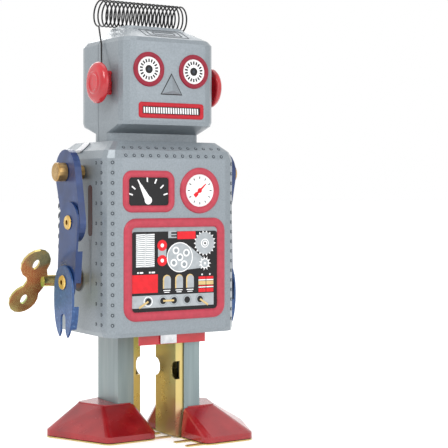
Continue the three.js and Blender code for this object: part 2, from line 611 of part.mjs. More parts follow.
// Legs: a painted cover around a plated channel, each hung from its own crank pin, on a pressed foot
function legs() {
  const { medial, lateral, half, top, tongue: root, eye, coverInner } = LEG;
  const inner = half - TIN - GAP;
  for (const [name, side] of Object.entries(SIDES)) {
    const y = CRANK.y - side * CRANK.throw;
    const box = ([x0, y0, z0], [x1, y1, z1]) => block([side * x0, y + y0, z0], [side * x1, y + y1, z1]);
    const hole = rod({ y, z: CRANK.z }, CRANK.pin + GAP, -FAR, FAR);
    const tongueOutline = link({ y, z: top - root / 2 }, root, { y, z: CRANK.z }, eye);
    const tongue = (x) => slab(tongueOutline, side * x, side * (x + TIN));

    const channelBottom = FOOT.sole + GAP;
    const channelEdge = lateral - TIN - GAP;
    const channel = join(
      box([medial, -inner, channelBottom], [medial + TIN, inner, top]),
      tongue(medial),
      box([medial, -inner, channelBottom], [channelEdge, -inner + TIN, top]),
      box([medial, inner, channelBottom], [channelEdge, inner - TIN, top]),
      box([medial, -inner, channelBottom], [channelEdge, inner, channelBottom + TIN]),
    );
    const biteFaces = [side * (medial - TIN), side * (medial + 1.9)];
    const bites = [-1, 1].map((end) => rod({ y: y + end * inner, z: BITE.z }, BITE.radius, ...biteFaces, 12));
    part("leg_channel_" + name, cut(channel, hole, ...bites), "zinc");

    const coverBottom = FOOT.plateau - 3.5;
    const cover = join(
      box([lateral - TIN, -half, coverBottom], [lateral, half, top]),
      tongue(lateral - TIN),
      box([coverInner, -half, coverBottom], [lateral, -half + TIN, top]),
      box([coverInner, half, coverBottom], [lateral, half - TIN, top]),
    );
    part("leg_cover_" + name, cut(cover, hole), "leg");

    // The foot's base flares outwards to the back; its flat top carries the slot for the leg.
    const corners = (list) => {
      const placed = list.map(([x, along]) => [side * x, y + along]);
      return side > 0 ? placed : placed.reverse();
    };
    const base = corners(FOOT_BASE);
    const plateau = corners(FOOT_FLAT);
    const narrowed = plateau.map(([x, along]) => [x * 0.98 + side * 0.2, along]);
    const shell = pressed([
      { z: FOOT.sole + GAP, corners: base, radius: FOOT.corner, lift: -1 },
      { z: FOOT.rim, corners: base, radius: FOOT.corner, lift: -0.2 },
      { z: FOOT.plateau - 0.5, corners: plateau, radius: FOOT.corner - 1, lift: -0.4 },
      { z: FOOT.plateau, corners: narrowed, radius: 1.8, lift: -TIN },
    ]);
    const slot = box([medial - 3, -half - GAP, -1], [lateral + GAP, half + GAP, FOOT.plateau + 1]);
    part("foot_shell_" + name, cut(shell, slot), "red");

    const outline = ring(base, FOOT.corner, 0, 0);
    const sheet = loft([outline, outline.map((p) => p.clone().setZ(FOOT.sole))]);
    const tabs = SOLE_TAB.along.map((along) => {
      const { half: tabHalf, root: tabRoot, reach } = SOLE_TAB;
      return box([tabRoot, along - tabHalf, 0], [-reach, along + tabHalf, FOOT.sole]);
    });
    part("sole_plate_" + name, join(sheet, ...tabs), "zinc");
  }
}

torso();
head();
hairSpring();
arms();
winding();
clockwork();
legs();

// The origin is the middle of the floor under the whole toy.
const ORIGIN = { x: (PIN.end - KEY.lobeX - KEY.lobeDepth) / 2, y: -6.15 };
robot.position.set(-ORIGIN.x, -ORIGIN.y, 0);

export default robot;
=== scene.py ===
"""A wind-up tin robot: the looks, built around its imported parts. Lengths are millimetres until place()."""

import math

import bmesh
import bpy
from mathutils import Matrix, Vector


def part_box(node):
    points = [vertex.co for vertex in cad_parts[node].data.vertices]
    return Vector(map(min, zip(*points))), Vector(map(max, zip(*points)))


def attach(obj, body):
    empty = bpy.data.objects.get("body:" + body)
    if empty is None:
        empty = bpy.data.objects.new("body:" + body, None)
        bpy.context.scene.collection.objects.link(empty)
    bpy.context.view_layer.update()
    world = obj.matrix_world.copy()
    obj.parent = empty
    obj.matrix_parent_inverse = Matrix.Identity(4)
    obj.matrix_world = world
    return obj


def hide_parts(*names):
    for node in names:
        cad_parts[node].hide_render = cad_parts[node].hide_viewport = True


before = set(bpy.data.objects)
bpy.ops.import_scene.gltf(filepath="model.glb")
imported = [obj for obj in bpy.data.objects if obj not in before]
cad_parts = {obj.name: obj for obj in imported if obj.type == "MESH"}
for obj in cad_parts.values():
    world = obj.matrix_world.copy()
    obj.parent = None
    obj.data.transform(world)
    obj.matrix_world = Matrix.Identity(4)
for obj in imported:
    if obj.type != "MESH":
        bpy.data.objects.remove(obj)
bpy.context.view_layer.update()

MM = 0.001
SIDES = {"left": 1, "right": -1}


def extent(node):
    low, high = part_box(node)
    return low / MM, high / MM


# The middle of the torso is the zero of X and Y below. Z is height above the floor.
torso_low, torso_high = extent("torso_front_shell")
torso_back = extent("torso_back_shell")[1].y
CENTRE = Vector(((torso_low.x + torso_high.x) / 2, (torso_low.y + torso_back) / 2, 0))
HALF_WIDTH = (torso_high.x - torso_low.x) / 2
FRONT = torso_low.y - CENTRE.y
TOP = torso_high.z
CORNER = 6  # the radius of the torso's upright corners
# The torso's top edge slopes up and in, from this far inside the wall.
SHOULDER = {"inset": 1.3, "run": 4.2, "rise": 3.7}

head_low, head_high = extent("head_front_shell")
FACE = head_low.y - CENTRE.y
HEAD_HALF = (head_high.x - head_low.x) / 2
HEAD_TOP = head_high.z
ROOF = {"run": 10.2, "rise": 4.8}  # the slope above the face


def place(x, y, z):
    return (CENTRE + Vector((x, y, z))) * MM


# ---------------------------------------------------------------- camera, floor and light


CAMERA = {"at": (-249.6, -454.7, 97.1), "heading": (0.535, 0.845, 0), "lens": 101.8, "shift": -0.0685}
FLOOR_HALF = 12.0  # metres
FLOOR_GLOW = 0.12  # enough for the floor to meet the white background without a line
LAMP_AIM = (0, 0, 0.08)
# Name, place in metres, size in metres, power in watts and colour.
LAMPS = [
    ("key_light", (-0.75, -0.45, 0.75), 0.5, 5.5, (1, 0.99, 0.97)),
    ("front_light", (0.25, -0.95, 0.35), 0.6, 2.2, (0.97, 0.98, 1)),
    ("top_light", (0.05, 0.1, 1.1), 0.6, 1.2, (1, 1, 1)),
    ("back_light", (0.35, 0.85, 0.6), 0.5, 2.5, (1, 1, 1)),
]


def studio():
    scene = bpy.context.scene
    camera = bpy.data.objects.new("camera", bpy.data.cameras.new("camera"))
    scene.collection.objects.link(camera)
    camera.location = place(*CAMERA["at"])
    camera.rotation_mode = "QUATERNION"
    camera.rotation_quaternion = Vector(CAMERA["heading"]).to_track_quat("-Z", "Y")
    camera.data.lens = CAMERA["lens"]
    camera.data.shift_y = CAMERA["shift"]
    camera.data.clip_start = 0.01
    scene.camera = camera

    scene.view_settings.view_transform = "Standard"

    paper = plain("floor", (0.97, 0.97, 0.97), 0.8)
    glow = paper.node_tree.nodes["Principled BSDF"].inputs
    glow["Emission Color"].default_value = (1, 1, 1, 1)
    glow["Emission Strength"].default_value = FLOOR_GLOW
    floor = mesh_object("floor", *square_sheet(FLOOR_HALF), [paper])

    for each in LAMPS:
        lamp(*each)
    world = bpy.data.worlds.new("studio")
    world.use_nodes = True
    background = world.node_tree.nodes["Background"]
    background.inputs["Color"].default_value = (1, 1, 1, 1)
    background.inputs["Strength"].default_value = 1.0
    scene.world = world


def lamp(name, where, size, power, colour):
    data = bpy.data.lights.new(name, "AREA")
    data.size = size
    data.energy = power
    data.color = colour
    lamp_object = bpy.data.objects.new(name, data)
    lamp_object.location = where
    lamp_object.rotation_mode = "QUATERNION"
    aim = Vector(LAMP_AIM) - Vector(where)
    lamp_object.rotation_quaternion = aim.to_track_quat("-Z", "Y")
    bpy.context.scene.collection.objects.link(lamp_object)


def square_sheet(half):
    corners = [(-half, -half, 0), (half, -half, 0), (half, half, 0), (-half, half, 0)]
    return corners, [(0, 1, 2, 3)]


# ---------------------------------------------------------------- materials


def shader(name):
    made = bpy.data.materials.new(name)
    made.use_nodes = True
    return made, made.node_tree.nodes, made.node_tree.links, made.node_tree.nodes["Principled BSDF"]


def noise_of(nodes, links, scale, detail=4, stretch=(1, 1, 1)):
    """A noise whose scale is in features per metre, stretched along the object's own axes."""
    where = nodes.new("ShaderNodeTexCoord")
    mapping = nodes.new("ShaderNodeMapping")
    mapping.inputs["Scale"].default_value = stretch
    links.new(where.outputs["Object"], mapping.inputs["Vector"])
    noise = nodes.new("ShaderNodeTexNoise")
    noise.inputs["Scale"].default_value = scale
    noise.inputs["Detail"].default_value = detail
    links.new(mapping.outputs["Vector"], noise.inputs["Vector"])
    return noise.outputs["Fac"]


def ramp_of(nodes, links, factor, stops):
    ramp = nodes.new("ShaderNodeValToRGB")
    elements = ramp.color_ramp.elements
    while len(elements) < len(stops):
        elements.new(0.5)
    for element, (position, colour) in zip(elements, stops):
        element.position = position
        element.color = (*colour, 1)
    links.new(factor, ramp.inputs["Fac"])
    return ramp.outputs["Color"]


def finish(name, stops, colour_scale, metallic=0.0, rough=(0.3, 0.4), rough_scale=300, bump=0.0,
           bump_scale=900, coat=0.0, stretch=(1, 1, 1), detail=4):
    """A surface whose colour wanders between its stops, with uneven gloss and a fine relief."""
    made, nodes, links, bsdf = shader(name)
    factor = noise_of(nodes, links, colour_scale, detail, stretch)
    links.new(ramp_of(nodes, links, factor, stops), bsdf.inputs["Base Color"])
    bsdf.inputs["Metallic"].default_value = metallic
    bsdf.inputs["Coat Weight"].default_value = coat
    bsdf.inputs["Coat Roughness"].default_value = 0.12
    spread = nodes.new("ShaderNodeMapRange")
    spread.inputs["From Min"].default_value = 0.3
    spread.inputs["From Max"].default_value = 0.7
    spread.inputs["To Min"].default_value = rough[0]
    spread.inputs["To Max"].default_value = rough[1]
    links.new(noise_of(nodes, links, rough_scale, 3, stretch), spread.inputs["Value"])
    links.new(spread.outputs["Result"], bsdf.inputs["Roughness"])
    if bump:
        relief = nodes.new("ShaderNodeBump")
        relief.inputs["Strength"].default_value = bump
        relief.inputs["Distance"].default_value = 0.0001
        links.new(noise_of(nodes, links, bump_scale, 2, stretch), relief.inputs["Height"])
        links.new(relief.outputs["Normal"], bsdf.inputs["Normal"])
    return made


def plain(name, colour, rough=0.4):
    darker = tuple(c * 0.96 for c in colour)
    return finish(name, [(0.35, darker), (0.65, colour)], 40, rough=(rough - 0.05, rough + 0.05))


def printed(name, colour):
    """One ink of the printed tin: even, with a faint mottle under a clear varnish."""
    darker = tuple(c * 0.82 for c in colour)
    made = finish(name, [(0.3, darker), (0.7, colour)], 500, 0.0, (0.34, 0.46), 250, 0.05, 1500, 0.04)
    made.node_tree.nodes["Principled BSDF"].inputs["Specular IOR Level"].default_value = 0.25
    return made


def zinc(name, tint, metallic=0.85, rough=(0.24, 0.38)):
    """Yellow passivated plate, whose thin film drifts between gold, green and pink."""
    gold = (0.56 * tint, 0.44 * tint, 0.17 * tint)
    green = (0.36 * tint, 0.42 * tint, 0.16 * tint)
    pink = (0.60 * tint, 0.39 * tint, 0.28 * tint)
    stops = [(0.32, green), (0.45, gold), (0.58, gold), (0.72, pink)]
    return finish(name, stops, 38, metallic, rough, 180, 0.06, 700, detail=2)


MATERIALS = {}


def make_materials():
    add = MATERIALS.__setitem__
    grey = [(0.3, (0.186, 0.214, 0.236)), (0.5, (0.206, 0.236, 0.26)), (0.7, (0.226, 0.258, 0.282))]
    add("body", finish("body_tin", grey, 1500, 0.3, (0.3, 0.4), 160, 0.12, 1400, 0.2))
    blue = [(0.3, (0.004, 0.02, 0.085)), (0.55, (0.006, 0.03, 0.12)), (0.75, (0.012, 0.05, 0.17))]
    add("forearm", finish("forearm_blue", blue, 120, 0.2, (0.26, 0.38), 140, 0.1, 1100, 0.12))
    sky = [(0.3, (0.012, 0.045, 0.15)), (0.6, (0.022, 0.075, 0.21)), (0.76, (0.09, 0.17, 0.33))]
    add("hand", finish("hand_blue", sky, 900, 0.2, (0.3, 0.42), 200, 0.2, 1500, 0.12))
    dusk = [(0.3, (0.008, 0.024, 0.09)), (0.6, (0.016, 0.04, 0.135)), (0.75, (0.045, 0.085, 0.21))]
    add("upper", finish("upper_arm_blue", dusk, 160, 0.2, (0.28, 0.4), 140, 0.12, 1200, 0.12))
    red = [(0.3, (0.2, 0.004, 0.008)), (0.55, (0.28, 0.007, 0.011)), (0.75, (0.34, 0.014, 0.018))]
    add("red", finish("foot_red", red, 90, 0.1, (0.2, 0.3), 150, 0.05, 900, 0.35))
    scarlet = [(0.3, (0.34, 0.006, 0.012)), (0.7, (0.46, 0.012, 0.02))]
    add("ear", finish("ear_red", scarlet, 150, 0.0, (0.16, 0.26), 200, 0.04, 900, 0.3))
    teal = [(0.3, (0.15, 0.2, 0.21)), (0.5, (0.19, 0.245, 0.25)), (0.72, (0.25, 0.3, 0.3))]
    add("leg", finish("leg_grey_green", teal, 260, 0.3, (0.32, 0.46), 200, 0.1, 900, 0.2, (1, 1, 0.06)))
    add("zinc", zinc("yellow_zinc", 1.0))
    add("key", zinc("key_zinc", 1.1, 0.95, (0.16, 0.26)))
    steel = [(0.3, (0.42, 0.43, 0.45)), (0.7, (0.62, 0.62, 0.63))]
    add("steel", finish("bright_steel", steel, 300, 1.0, (0.22, 0.4), 260, 0.1, 900))
    tan = [(0.3, (0.3, 0.17, 0.055)), (0.5, (0.46, 0.29, 0.11)), (0.75, (0.58, 0.4, 0.18))]
    add("brass", finish("old_brass", tan, 350, 0.9, (0.26, 0.42), 300, 0.12, 900))
    gilt = [(0.3, (0.58, 0.36, 0.09)), (0.7, (0.8, 0.57, 0.2))]
    add("eyelet", finish("eyelet_brass", gilt, 400, 0.95, (0.2, 0.32), 300, 0.08, 900))
    black = [(0.3, (0.008, 0.008, 0.009)), (0.7, (0.022, 0.022, 0.025))]
    add("wire", finish("black_wire", black, 600, 0.6, (0.25, 0.38), 400, 0.1, 1500))
    inks = {
        "rim": (0.42, 0.045, 0.07),
        "eye_rim": (0.25, 0.012, 0.03),
        "mouth_rim": (0.42, 0.01, 0.02),
        "black": (0.006, 0.006, 0.007),
        "white": (0.82, 0.83, 0.83),
        "signal": (0.66, 0.01, 0.018),
        "silver": (0.36, 0.39, 0.41),
        "slate": (0.27, 0.30, 0.32),
        "tan": (0.62, 0.45, 0.19),
        "maroon": (0.075, 0.012, 0.01),
        "ink": (0.03, 0.038, 0.05),
    }
    for name, colour in inks.items():
        add(name, printed("print_" + name, colour))


# ---------------------------------------------------------------- meshes


def mesh_object(name, points, faces, materials, indices=None):
    mesh = bpy.data.meshes.new(name)
    mesh.from_pydata([tuple(p) for p in points], [], faces)
    for each in materials:
        mesh.materials.append(each)
    if indices:
        mesh.polygons.foreach_set("material_index", indices)
    mesh.update()
    made = bpy.data.objects.new(name, mesh)
    bpy.context.scene.collection.objects.link(made)
    return made


def tidy_edges(target, bevel=0.0, angle=32, segments=2):
    """Smooth shading that breaks at real edges, with a small round on them."""
    target.data.shade_smooth()
    target.data.set_sharp_from_angle(angle=math.radians(angle))
    if bevel:
        rounding = target.modifiers.new("edge", "BEVEL")
        rounding.width = bevel * MM
        rounding.segments = segments
        rounding.limit_method = "ANGLE"
        rounding.angle_limit = math.radians(angle)
        rounding.use_clamp_overlap = True
        rounding.harden_normals = False
    weighted = target.modifiers.new("normals", "WEIGHTED_NORMAL")
    weighted.keep_sharp = not bevel
    weighted.weight = 80


def piece(name, shapes, inks, body, replaces=(), bevel=0.0, angle=32):
    """One object from several closed shapes of (points, faces, ink number)."""
    points = []
    faces = []
    indices = []
    for shape_points, shape_faces, ink in shapes:
        start = len(points)
        points += [place(*p) for p in shape_points]
        faces += [tuple(start + i for i in face) for face in shape_faces]
        indices += [ink] * len(shape_faces)
    made = mesh_object(name, points, faces, [MATERIALS[ink] for ink in inks], indices)
    edit = bmesh.new()
    edit.from_mesh(made.data)
    bmesh.ops.recalc_face_normals(edit, faces=edit.faces)
    edit.to_mesh(made.data)
    edit.free()
    tidy_edges(made, bevel, angle)
    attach(made, body)
    if replaces:
        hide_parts(*replaces)
    return made


def front_plane(u, v, out):
    return (u, FRONT - out, v)


def face_plane(u, v, out):
    return (u, FACE - out, v)


def side_plane(side):
    return lambda u, v, out: (side * (HALF_WIDTH + out), u, v)


def prism(outline, plane, low, high, ink=0):
    """A closed plate over a plane, from low to high above it."""
    count = len(outline)
    points = [plane(u, v, low) for u, v in outline] + [plane(u, v, high) for u, v in outline]
    faces = [tuple(range(count))[::-1], tuple(range(count, 2 * count))]
    faces += [(i, (i + 1) % count, count + (i + 1) % count, count + i) for i in range(count)]
    return points, faces, ink


def band(rings, plane, ink=0):
    """A closed moulding through rings of (outline, height), joined last to first."""
    count = len(rings[0][0])
    points = [plane(u, v, out) for outline, out in rings for u, v in outline]
    faces = []
    for r in range(len(rings)):
        after = (r + 1) % len(rings)
        for i in range(count):
            j = (i + 1) % count
            faces.append((r * count + i, r * count + j, after * count + j, after * count + i))
    return points, faces, ink


def moulding(outline_at, width, height, plane, ink=0, steps=8, sunk=0.15):
    """A half-round rim of that width and height; outline_at gives its outline at an inset."""
    rings = [(outline_at(0), -sunk)]
    for k in range(steps + 1):
        angle = math.pi * k / steps
        rings.append((outline_at(width * (1 - math.cos(angle)) / 2), height * math.sin(angle)))
    rings.append((outline_at(width), -sunk))
    return band(rings, plane, ink)


def disc(u, v, radius, count=40):
    turn = [2 * math.pi * i / count for i in range(count)]
    return [(u + radius * math.cos(a), v + radius * math.sin(a)) for a in turn]


def box(u0, v0, u1, v1):
    return [(u0, v0), (u1, v0), (u1, v1), (u0, v1)]


def round_box(u0, v0, u1, v1, radius, steps=6):
    points = []
    corners = [(u1 - radius, v1 - radius), (u0 + radius, v1 - radius)]
    corners += [(u0 + radius, v0 + radius), (u1 - radius, v0 + radius)]
    for quarter, (u, v) in enumerate(corners):
        for k in range(steps + 1):
            angle = math.pi / 2 * (quarter + k / steps)
            points.append((u + radius * math.cos(angle), v + radius * math.sin(angle)))
    return points


def stroke(u0, v0, u1, v1, wide, narrow=None):
    """A straight mark from one point to another, as wide as it says at each end."""
    narrow = wide if narrow is None else narrow
    length = math.hypot(u1 - u0, v1 - v0)
    across = (-(v1 - v0) / length / 2, (u1 - u0) / length / 2)
    return [
        (u0 - across[0] * wide, v0 - across[1] * wide),
        (u1 - across[0] * narrow, v1 - across[1] * narrow),
        (u1 + across[0] * narrow, v1 + across[1] * narrow),
        (u0 + across[0] * wide, v0 + across[1] * wide),
    ]


def ray(u, v, degrees, near, far, wide, narrow=None):
    c, s = math.cos(math.radians(degrees)), math.sin(math.radians(degrees))
    return stroke(u + near * c, v + near * s, u + far * c, v + far * s, wide, narrow)


def gear(u, v, root, tip, teeth):
    points = []
    for i in range(teeth):
        for share, radius in ((-0.32, root), (0, tip), (0.32, root)):
            angle = 2 * math.pi * (i + share) / teeth
            points.append((u + radius * math.cos(angle), v + radius * math.sin(angle)))
    return points


def circle_band(u, v, outer, width, height, plane, ink=0, steps=8):
    return moulding(lambda inset: disc(u, v, outer - inset, 48), width, height, plane, ink, steps)


class Print:
    """Layers of ink on one plane. Each layer lies a little above the one before."""

    STEP = 0.045

    def __init__(self, plane, base=0.05):
        self.plane = plane
        self.base = base
        self.inks = []
        self.shapes = []

    def add(self, ink, layer, *outlines):
        if ink not in self.inks:
            self.inks.append(ink)
        high = self.base + self.STEP * (layer + 1)
        for outline in outlines:
            self.shapes.append(prism(outline, self.plane, -0.1, high, self.inks.index(ink)))

    def make(self, name, body="torso"):
        return piece(name, self.shapes, self.inks, body)


# ---------------------------------------------------------------- torso prints

PANEL = {"half": 19.2, "low": 51.2, "high": 83.8, "rim": 3.6}
DIAL = {"left": -23.2, "right": -0.4, "low": 89.7, "high": 105.9, "rim": 2.7}
ROUND = {"x": 11.2, "z": 98.2, "radius": 9.1, "rim": 2.7}


def rims():
    half, low, high, rim = (PANEL[k] for k in ("half", "low", "high", "rim"))
    big = lambda inset: round_box(
        -half - rim + inset, low - rim + inset, half + rim - inset, high + rim - inset, 5.2 - inset)
    left, right, bottom, top, width = (DIAL[k] for k in ("left", "right", "low", "high", "rim"))
    small = lambda inset: round_box(
        left + inset, bottom + inset, right - inset, top - inset, 3.9 - inset)
    shapes = [
        moulding(big, rim, 1.1, front_plane),
        moulding(small, width, 1.0, front_plane),
        circle_band(ROUND["x"], ROUND["z"], ROUND["radius"], ROUND["rim"], 1.0, front_plane),
    ]
    piece("panel_rims", shapes, ["rim"], "torso")


def rectangular_dial():
    made = Print(front_plane)
    inset = DIAL["rim"] - 0.4
    made.add("black", 0, round_box(DIAL["left"] + inset, DIAL["low"] + inset,
                                   DIAL["right"] - inset, DIAL["high"] - inset, 1.6))
    pivot = (-12.1, DIAL["low"] + 4.7)
    for degrees in (163, 143, 93, 66, 41, 17):
        made.add("white", 1, ray(*pivot, degrees, 7.1, 9.0, 0.55))
    made.add("white", 1, ray(*pivot, 120, 0.4, 6.8, 2.6, 1.0))
    made.add("white", 2, disc(*pivot, 1.6, 24), ray(*pivot, 120, 6.6, 9.2, 0.7, 0.45))
    made.make("rectangular_dial_print")


def round_dial():
    made = Print(front_plane)
    u, v = ROUND["x"], ROUND["z"]
    made.add("white", 0, disc(u, v, ROUND["radius"] - ROUND["rim"] + 0.4, 48))
    made.add("black", 1, *[ray(u, v, 30 * i, 4.6, 5.5, 0.36) for i in range(12)])
    made.add("signal", 1, ray(u, v, 43, 0.2, 3.9, 1.0, 0.35), ray(u, v, 223, 0.2, 2.0, 0.9, 1.0))
    made.add("signal", 2, disc(u, v, 0.95, 24), ray(u, v, 223, 1.6, 3.3, 1.6))
    made.make("round_dial_print")


def machine_panel():
    made = Print(front_plane)
    half, low, high = PANEL["half"], PANEL["low"], PANEL["high"]
    made.add("slate", 0, round_box(-half - 0.3, low - 0.3, half + 0.3, high + 0.3, 1.6))
    made.add("black", 1, round_box(-half, low, half, high - 1.6, 1.0))
    cylinder_pair(made)
    made.add("silver", 2, box(-7.8, 72.4, -4.1, 75.6))
    for v in (76.8, 70.9):
        made.add("signal", 3, disc(-5.95, v, 2.15, 28))
        made.add("white", 4, disc(-5.95, v, 0.75, 16))
    made.add("silver", 2, box(-3.2, 79.6, -1.9, 82.4), box(-1.9, 81.9, 0.5, 82.4))
    made.add("silver", 2, box(-1.9, 80.7, 0.5, 81.2), box(-1.9, 79.6, 0.5, 80.1))
    made.add("signal", 2, box(0.9, 79.1, 9.2, 82.1))
    wheels(made)
    made.add("white", 2, box(-17.0, 66.1, -16.3, 66.7), box(-15.9, 66.1, -14.4, 66.7))
    made.add("white", 2, box(-11.8, 66.1, -11.1, 66.7), box(-10.7, 66.1, -9.2, 66.7))
    made.add("signal", 2, box(-half, 58.5, -7.9, 65.6))
    for left in (-5.6, -0.1, 4.9):
        made.add("tan", 2, arch(left, 59.9, 3.5, 5.4))
        made.add("silver", 3, arch(left + 0.55, 59.9, 2.95, 5.0))
        made.add("white", 2, box(left + 0.2, 59.0, left + 3.3, 59.35))
        made.add("white", 2, box(left + 0.6, 58.3, left + 2.9, 58.6))
    resistor_block(made)
    socket_strip(made)
    made.make("machine_panel_print")


def cylinder_pair(made):
    """Two hatched columns side by side: the hatch is slanting light strokes on dark."""
    low, high, count = 68.5, 81.4, 17
    pitch = (high - low) / count
    for left in (-17.5, -13.3):
        made.add("slate", 2, box(left, low, left + 3.9, high))
        for i in range(count):
            v = low + pitch * (i + 0.15)
            slant = [(left, v), (left + 3.9, v + 0.22), (left + 3.9, v + 0.62), (left, v + 0.4)]
            made.add("white", 3, slant)
    made.add("white", 4, box(-13.6, low, -13.4, high))


def arch(left, low, width, height):
    radius = width / 2
    u, v = left + radius, low + height - radius
    turn = [math.pi * k / 10 for k in range(11)]
    crown = [(u + radius * math.cos(a), v + radius * math.sin(a)) for a in turn]
    return [(left, low), (left + width, low), *crown]


def wheels(made):
    u, v = 2.0, 72.0
    made.add("silver", 2, [(6.4, 76.3), (12.6, 71.6), (12.4, 67.6), (5.0, 67.0)])
    made.add("white", 3, disc(u, v, 5.9, 48))
    made.add("silver", 4, disc(u, v, 5.5, 48))
    for du, dv in ((0, 0), (-1.8, 2.7), (2.9, 1.7), (-2.8, -2.1), (1.9, -2.8)):
        made.add("white", 5, disc(u + du, v + dv, 1.5, 24))
        made.add("slate", 6, disc(u + du, v + dv, 0.85, 20))
    u, v = 13.5, 77.3
    made.add("white", 2, gear(u, v, 4.3, 5.1, 18))
    made.add("silver", 3, disc(u, v, 4.35, 40))
    hub = (("white", 1.8), ("silver", 1.4), ("white", 1.0), ("black", 0.45))
    for layer, (ink, radius) in enumerate(hub, 4):
        made.add(ink, layer, disc(u, v, radius, 24))
    v = 69.3
    made.add("white", 3, gear(u, v, 1.9, 2.9, 11))
    made.add("silver", 4, disc(u, v, 1.6, 24))
    made.add("white", 5, disc(u, v, 0.5, 16))


def resistor_block(made):
    for left in (10.6, 14.2):
        right = left + 3.3
        rows = ((63.1, 1.0, "signal"), (62.5, 0.45, "white"), (60.8, 1.5, "tan"),
                (60.2, 0.35, "signal"), (59.7, 0.4, "white"), (57.9, 1.5, "signal"))
        for low, tall, ink in rows:
            made.add(ink, 2, box(left, low, right, low + tall))
        made.add("white", 2, disc(left + 1.65, 64.9, 0.35, 12))


def socket_strip(made):
    made.add("silver", 2, box(-PANEL["half"], 52.7, 17.6, 57.5))
    row = 55.2
    for number, u in enumerate((-12.2, -5.6, -0.7, 5.3, 11.2)):
        made.add("white" if number == 0 else "slate", 3, disc(u, row, 2.0, 28))
        made.add("silver", 4, disc(u, row, 1.65, 28))
        made.add("black", 5, disc(u, row, 1.3, 24))
    made.add("tan", 6, stroke(-12.2, row, -16.2, 52.8, 0.7))
    made.add("tan", 6, stroke(-5.6, row, -0.7, row, 0.7))
    made.add("tan", 6, stroke(11.2, row, 14.9, 52.8, 0.7))


RIVET = {"ring": 0.68, "middle": 0.38, "low": 46.5, "pitch": 3.9, "rows": 17}
YOKE = {"left": -21.6, "pitch": 3.6, "count": 13}  # the two rows across the top of the front


def rivets():
    """Rows of small printed rivets: dark rings with a light middle, each laid flat on its own patch."""
    shapes = []

    def rivet(x, y, z, normal):
        out = Vector(normal).normalized()
        across = out.cross(Vector((0, 0, 1))).normalized()
        rise = across.cross(out)
        start = Vector((x, y, z))
        local = lambda u, v, height: tuple(start + across * u + rise * v + out * height)
        shapes.append(prism(disc(0, 0, RIVET["ring"], 14), local, -0.2, 0.09, 0))
        shapes.append(prism(disc(0, 0, RIVET["middle"], 12), local, -0.2, 0.13, 1))

    turn = math.radians(38)  # how far round the corner the first column stands
    x = HALF_WIDTH - CORNER + CORNER * math.sin(turn)
    y = FRONT + CORNER - CORNER * math.cos(turn)
    for side in SIDES.values():
        for i in range(RIVET["rows"]):
            z = RIVET["low"] + RIVET["pitch"] * i
            rivet(side * x, y, z, (side * math.sin(turn), -math.cos(turn), 0))
            rivet(side * HALF_WIDTH, FRONT + CORNER + 0.2, z, (side, 0, 0))
            if i % 2 == 0:
                rivet(side * HALF_WIDTH, FRONT + CORNER + 4.6, z, (side, 0, 0))
    for i in range(YOKE["count"]):
        x = YOKE["left"] + YOKE["pitch"] * i
        rivet(x, FRONT + 0.45, 111.7, (0, -1, 0.4))
        rivet(x, FRONT + 2.45, 114.8, (0, -SHOULDER["rise"], SHOULDER["run"]))
    piece("printed_rivets", shapes, ["ink", "body"], "torso")


SCREWDRIVER = {"y": -8.9, "tip": 58.2, "collar": 79.0, "handle": 80.4, "end": 100.3}
GAUGE = {"y": 1.5, "z": 63, "rings": (("silver", 5.2), ("black", 4.8), ("maroon", 3.6))}


def side_prints():
    """A screwdriver on each side, and a round gauge behind each hand."""
    y, tip, collar, handle, end = (SCREWDRIVER[k] for k in ("y", "tip", "collar", "handle", "end"))
    for name, side in SIDES.items():
        made = Print(side_plane(side), 0.03)
        made.add("maroon", 0, round_box(y - 1.75, handle, y + 1.75, end, 1.5))
        made.add("silver", 0, box(y - 1.3, collar, y + 1.3, handle))
        made.add("slate", 0, box(y - 0.75, tip, y + 0.75, collar))
        made.add("silver", 1, box(y - 0.25, tip + 0.4, y + 0.2, collar))
        for layer, (ink, radius) in enumerate(GAUGE["rings"]):
            made.add(ink, layer, disc(GAUGE["y"], GAUGE["z"], radius, 36))
        made.make("side_print_" + name)


CHEVRON = {"y": 17.0, "half": 3.4, "low": 50.0, "pitch": 4.1, "rise": 1.7, "count": 14}


def chevrons():
    """A column of dark and white chevrons up the rear of each side."""
    y, half, low, pitch, rise = (CHEVRON[k] for k in ("y", "half", "low", "pitch", "rise"))
    for name, side in SIDES.items():
        made = Print(side_plane(side), 0.03)
        for i in range(CHEVRON["count"]):
            for ink, start, tall in (("ink", 0, 1.5), ("white", 1.9, 0.9)):
                z = low + pitch * i + start
                made.add(ink, 0, [(y - half, z), (y, z + rise), (y, z + rise + tall), (y - half, z + tall)])
                made.add(ink, 0, [(y, z + rise), (y + half, z), (y + half, z + tall), (y, z + rise + tall)])
        made.make("chevrons_" + name)


def shoulder_tabs():
    """The bare tin tab that is folded over each shoulder, where the two shells meet."""
    inset, run, rise = (SHOULDER[k] for k in ("inset", "run", "rise"))
    start = Vector((HALF_WIDTH - inset, 3.6, TOP - rise))
    slope = Vector((-run, 0, rise)).normalized()
    out = Vector((rise, 0, run)).normalized()
    shapes = []
    for side in SIDES.values():
        def fold(u, v, height, side=side):
            spot = start + Vector((0, u, 0)) + slope * v + out * height
            return side * spot.x, spot.y, spot.z

        shapes.append(prism(round_box(-3.2, -0.9, 2.6, 5.0, 1.1), fold, 0.06, 0.5))
        shapes.append(prism(box(-3.0, -0.5, 2.4, 0.4), fold, 0.4, 0.8))
    piece("shoulder_tabs", shapes, ["steel"], "torso", bevel=0.15)


# ---------------------------------------------------------------- face

EYE = {"x": 10.16, "z": 145.5, "ring": 6.8, "white": 5.15}
MOUTH = {"half": 14.7, "low": 126.5, "high": 132.7, "rim": 1.7, "teeth": 23}
NOSE = {"half": 4.4, "low": 136.2, "high": 143.7, "rise": 1.5}


